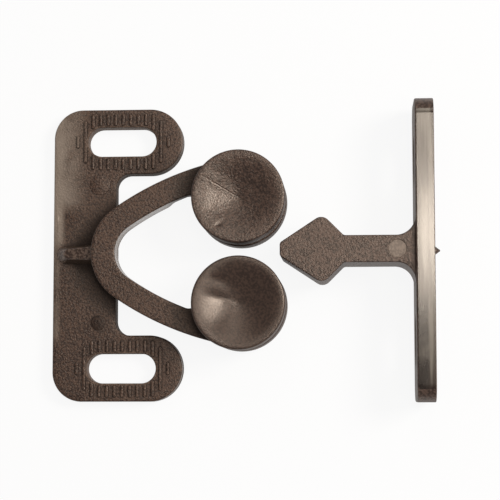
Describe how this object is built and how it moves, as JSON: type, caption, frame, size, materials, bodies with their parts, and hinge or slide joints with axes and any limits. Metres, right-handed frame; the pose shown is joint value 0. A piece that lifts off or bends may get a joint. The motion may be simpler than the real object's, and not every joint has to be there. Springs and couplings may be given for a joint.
{
  "type": "rotary knuckle catch",
  "caption": "Moulded cupboard catch: a slotted plate with a V spring and dished rollers, and a striker with a diamond head.",
  "frame": {"origin": "on the mounting face, midway between the centres of the two screw slots", "axes": "+X out of the catch towards the striker, +Y towards the upper arm along the line of the screw slots, +Z away from the mounting face"},
  "size_m": [0.0656, 0.0502, 0.012],
  "materials": {
    "catch_plastic": "matte, fine grained, reddish grey brown",
    "roller_plastic": "satin, reddish grey brown",
    "striker_plastic": "satin, reddish grey brown"
  },
  "bodies": {
    "catch": {"mounting_plate": "catch_plastic"},
    "upper_arm": {"upper_arm": "catch_plastic"},
    "lower_arm": {"lower_arm": "catch_plastic"},
    "upper_roller": {"upper_roller": "roller_plastic"},
    "lower_roller": {"lower_roller": "roller_plastic"},
    "striker": {"striker": "striker_plastic"}
  },
  "joints": [
    {"name": "upper_arm_flex", "type": "hinge", "parent": "catch", "child": "upper_arm", "pos_m": [0.00045, 0.00583, 0.0053], "axis": [0, 0, 1], "range_deg": [-2, 13], "stiffness_Nm_per_rad": 2.5},
    {"name": "lower_arm_flex", "type": "hinge", "parent": "catch", "child": "lower_arm", "pos_m": [0.00045, -0.00583, 0.0053], "axis": [0, 0, -1], "range_deg": [-2, 13], "stiffness_Nm_per_rad": 2.5},
    {"name": "upper_roller_turn", "type": "hinge", "parent": "upper_arm", "child": "upper_roller", "pos_m": [0.0205, 0.0088, 0.0064], "axis": [0, 0, 1], "continuous": true},
    {"name": "lower_roller_turn", "type": "hinge", "parent": "lower_arm", "child": "lower_roller", "pos_m": [0.0205, -0.0088, 0.0064], "axis": [0, 0, 1], "continuous": true},
    {"name": "striker_slide", "type": "slide", "parent": "catch", "child": "striker", "axis": [1, 0, 0], "range_m": [-0.0025, 0.025]}
  ]
}
